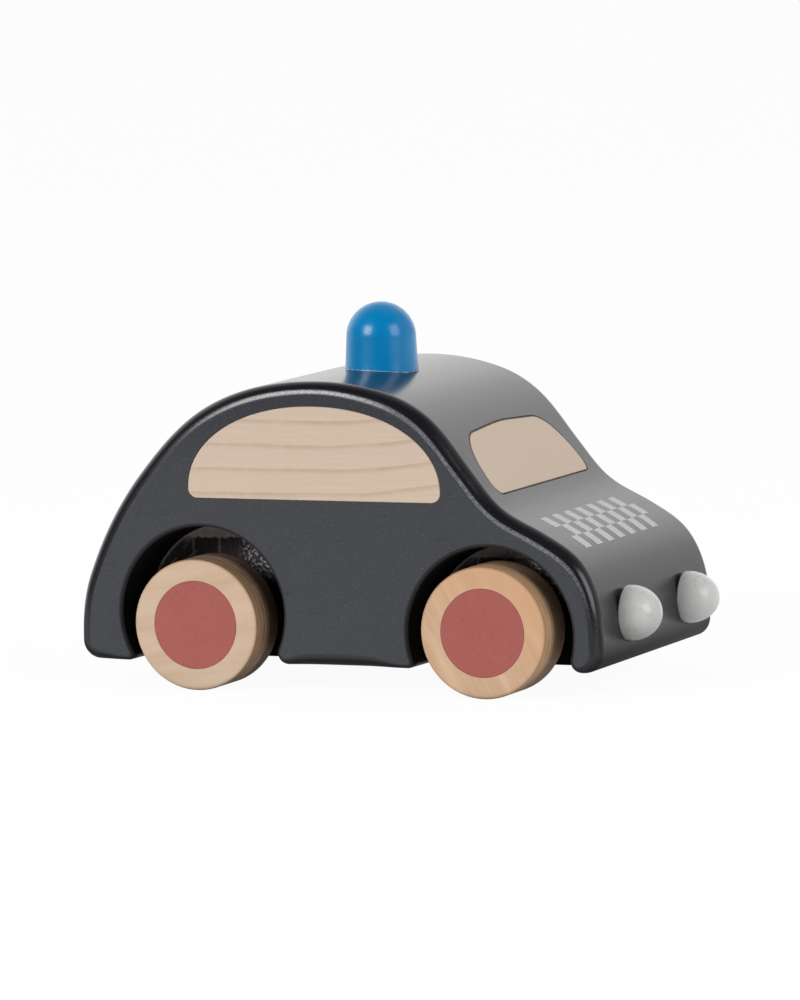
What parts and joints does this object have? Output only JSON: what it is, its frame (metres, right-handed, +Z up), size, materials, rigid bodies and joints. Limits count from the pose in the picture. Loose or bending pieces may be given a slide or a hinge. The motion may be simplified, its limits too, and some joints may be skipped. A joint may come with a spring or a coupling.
{
  "type": "wooden toy police car",
  "caption": "Wooden push-along police car: a domed, round-edged body with bare-wood windows, a turned blue roof lamp, half-ball headlights and disc wheels on dowel axles that roll freely.",
  "frame": {"origin": "centre of the car's outline on the floor under the wheels", "axes": "+X towards the nose, +Y to the car's left, +Z up"},
  "size_m": [0.157, 0.096, 0.0999],
  "materials": {
    "body_paint": "satin charcoal lacquer on wood, grain just showing",
    "bare_wood": "bare pale hardwood, matt, fine grain along the car",
    "wheel_wood": "bare turned hardwood, matt, slightly waxed",
    "hub_red": "matt brick-red paint on wood",
    "lamp_blue": "glossy blue lacquer on turned wood",
    "headlight_grey": "satin light-grey paint on turned wood",
    "dowel_wood": "plain beech dowel"
  },
  "bodies": {
    "car_body": {"body_core": "body_paint", "side_board_left": "body_paint", "side_board_right": "body_paint", "windscreen": "bare_wood", "rear_window": "bare_wood", "side_window_left": "bare_wood", "side_window_right": "bare_wood", "roof_lamp": "lamp_blue", "lamp_dowel": "dowel_wood", "headlight_left": "headlight_grey", "headlight_right": "headlight_grey", "headlight_dowel_left": "dowel_wood", "headlight_dowel_right": "dowel_wood"},
    "front_wheelset": {"front_axle": "dowel_wood", "wheel_front_left": "wheel_wood", "wheel_front_right": "wheel_wood", "hub_disc_front_left": "hub_red", "hub_disc_front_right": "hub_red"},
    "rear_wheelset": {"rear_axle": "dowel_wood", "wheel_rear_left": "wheel_wood", "wheel_rear_right": "wheel_wood", "hub_disc_rear_left": "hub_red", "hub_disc_rear_right": "hub_red"}
  },
  "joints": [
    {"name": "front_wheels_roll", "type": "hinge", "parent": "car_body", "child": "front_wheelset", "pos_m": [0.0383, 0, 0.0175], "axis": [0, 1, 0], "continuous": true},
    {"name": "rear_wheels_roll", "type": "hinge", "parent": "car_body", "child": "rear_wheelset", "pos_m": [-0.0432, 0, 0.0175], "axis": [0, 1, 0], "continuous": true}
  ]
}
